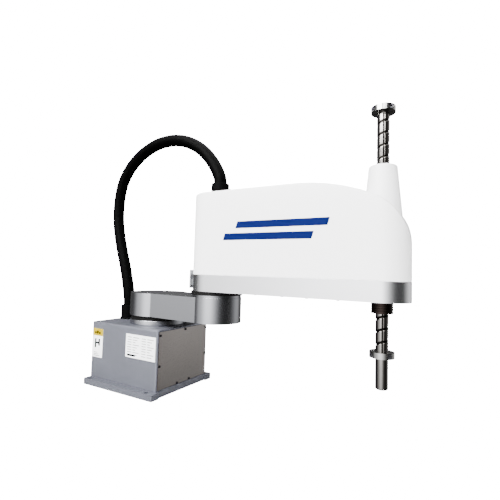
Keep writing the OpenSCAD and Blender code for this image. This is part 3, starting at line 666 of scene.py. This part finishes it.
def top_profile():
    """Height of the cover's top by distance from the second joint: flat, a long arc, then the nose's arc."""
    slope_x, slope_r = 186 * MM, 330 * MM
    break_x, nose_r = 315 * MM, 89.2 * MM
    angle = math.asin((break_x - slope_x) / slope_r)
    break_z = COVER_TOP - slope_r * (1 - math.cos(angle))
    nose_x = break_x - nose_r * math.sin(angle)
    nose_z = break_z - nose_r * math.cos(angle)

    def height(x):
        if x <= slope_x:
            return COVER_TOP
        if x <= break_x:
            return COVER_TOP - slope_r + math.sqrt(slope_r ** 2 - (x - slope_x) ** 2)
        return nose_z + math.sqrt(max(0, nose_r ** 2 - (x - nose_x) ** 2))

    return height


def make_cover():
    """White moulded cover: upright walls, rounded shoulders and a crowned nose."""
    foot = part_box("link2_cover")[0].z
    height = top_profile()
    shoulder, steps = 4 * MM, 5
    rebate, rebate_h, lip = 0.7 * MM, 0.6 * MM, 1.0 * MM
    wall_rows, arc_points = 6, 56
    length = math.hypot(J3.x - J2.x, J3.y - J2.y)

    def ring(inset, drop, fixed=None):
        points = []
        for x, y in link_outline(LINK_2_REAR_R - inset, LINK_2_FRONT_R - inset, length, arc_points):
            z = fixed if fixed is not None else max(foot + lip, height(x) - drop)
            points.append(Vector((J2.x + x, J2.y + y, z)))
        return points

    rings = [ring(rebate, 0, foot), ring(rebate, 0, foot + rebate_h), ring(0, 0, foot + lip)]
    top = ring(0, shoulder)
    base_row = rings[-1]
    for k in range(1, wall_rows):
        rings.append([a.lerp(b, k / wall_rows) for a, b in zip(base_row, top)])
    for k in range(steps + 1):
        a = math.pi / 2 * k / steps
        rings.append(ring(shoulder * (1 - math.cos(a)), shoulder * (1 - math.sin(a))))
    for inset in (8, 14, 20, 26, 32, 38, 42, 44):
        rings.append(ring(inset * MM, 0))
    bm = bmesh.new()
    loft(bm, rings)
    bmesh.ops.remove_doubles(bm, verts=bm.verts, dist=0.01 * MM)
    place(finish_mesh(bm, "white_cover"), "cover_white", "link2", ["link2_cover"], flatten=False)


def make_cone():
    """Cone round the shaft with a rolled rim and a hollow mouth."""
    low, top = 300 * MM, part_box("cover_cone")[1].z
    wide, narrow, rim = 36.2 * MM, 22.6 * MM, 3 * MM
    mouth, lip, mouth_depth, hollow = 13 * MM, 0.6 * MM, 10 * MM, 20 * MM
    profile = [(wide, low), (narrow, top - rim)]
    profile += [(narrow - rim * (1 - math.cos(a)), top - rim * (1 - math.sin(a)))
                for a in (math.pi / 2 * k / 6 for k in range(1, 7))]
    profile += [(mouth + lip, top), (mouth, top - lip), (mouth, top - mouth_depth), (hollow, low)]
    bm = bmesh.new()
    loft(bm, [circle(r, z, J3) for r, z in profile], wrap=True)
    place(finish_mesh(bm, "shaft_cone"), "cover_white", "link2", ["cover_cone"], flatten=False)


make_cover()
make_cone()
# The frame keeps the silver paint's slot but is drawn in the brighter copy, which is painted light on its
# band.
refined("link2_frame", "link_paint", 1.0 * MM, look="link_paint_lit_copy")
refined("rear_bracket", "link_plate", 0.5 * MM)
refined("cover_stripe", "stripe_blue", 0.1 * MM, 1)
refined("frame_screws", "black_screw", 0.2 * MM, 2)
refined("cone_bushing", "black_plastic", 0.4 * MM)


# ---- Shaft and collars ---------------------------------------------------

def make_shaft():
    """Ball-screw spline shaft: a right-handed helical groove, two straight ones and a plain lower end."""
    low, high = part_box("shaft")
    radius = (high.x - low.x) / 2
    bore = 5.5 * MM
    lead, groove_w, groove_d = 20 * MM, 3.6 * MM, 1.0 * MM
    slant = 0.95                    # distance across the helical groove for each unit along the shaft
    spline_w, spline_d = 2.6 * MM, 0.8 * MM
    splines = (math.radians(-75), math.radians(105))
    plain, relief, plain_top = 47.5 * MM, 1.5 * MM, 12 * MM
    chamfer = 1.5 * MM
    count, step = 72, 1.0 * MM

    def groove(distance, width, depth):
        inside = 1 - (2 * distance / width) ** 2
        return depth * math.sqrt(inside) if inside > 0 else 0

    def radius_at(angle, z):
        if z < low.z + plain + relief or z > high.z - plain_top:
            return radius
        phase = (angle / (2 * math.pi) - z / lead) % 1
        axial = min(phase, 1 - phase) * lead
        depth = groove(axial * slant, groove_w, groove_d)
        for line in splines:
            gap = abs((angle - line + math.pi) % (2 * math.pi) - math.pi) * radius
            depth = max(depth, groove(gap, spline_w, spline_d))
        return radius - depth

    def ring(z, fixed=None):
        points = []
        for k in range(count):
            a = 2 * math.pi * k / count
            r = fixed if fixed is not None else radius_at(a, z)
            points.append(Vector((J3.x + r * math.cos(a), J3.y + r * math.sin(a), z)))
        return points

    rings = [ring(low.z, radius - chamfer), ring(low.z + chamfer, radius)]
    rows = int((high.z - low.z - 2 * chamfer) / step)
    rings += [ring(low.z + chamfer + k * step) for k in range(1, rows)]
    rings += [ring(high.z - chamfer, radius), ring(high.z, radius - chamfer)]
    rings += [ring(high.z, bore), ring(low.z, bore)]
    bm = bmesh.new()
    loft(bm, rings, wrap=True)
    place(finish_mesh(bm, "grooved_shaft"), "shaft_steel", "shaft", ["shaft"], flatten=False)


make_shaft()
refined("top_collar", "collar_bright", 0.6 * MM)
refined("lower_collar", "collar_bright", 0.6 * MM)
refined("top_collar_screws", "black_screw", 0.25 * MM, 2)
refined("lower_collar_screws", "black_screw", 0.25 * MM, 2)
refined("nut_collar", "nut_black", 0.4 * MM)


# ---- Pieces inside the housings ------------------------------------------

INSIDE = {
    "j1_motor": "motor_black", "j1_reducer": "reducer_steel", "j1_output": "reducer_steel",
    "j2_motor": "motor_black", "j2_reducer": "reducer_steel", "j2_output": "reducer_steel",
    "z_motor": "motor_black", "r_motor": "motor_black", "motor_bracket": "link_plate",
    "z_belt": "belt_black", "r_belt": "belt_black", "spline_bearing": "reducer_steel",
    "screw_bearing": "link_plate", "z_motor_pulley": "pulley_metal", "r_motor_pulley": "pulley_metal",
    "spline_nut": "nut_steel", "r_pulley": "pulley_metal", "ball_nut": "nut_steel",
    "z_pulley": "pulley_metal"}
for node, slot in INSIDE.items():
    refined(node, slot, 0.3 * MM, 2)
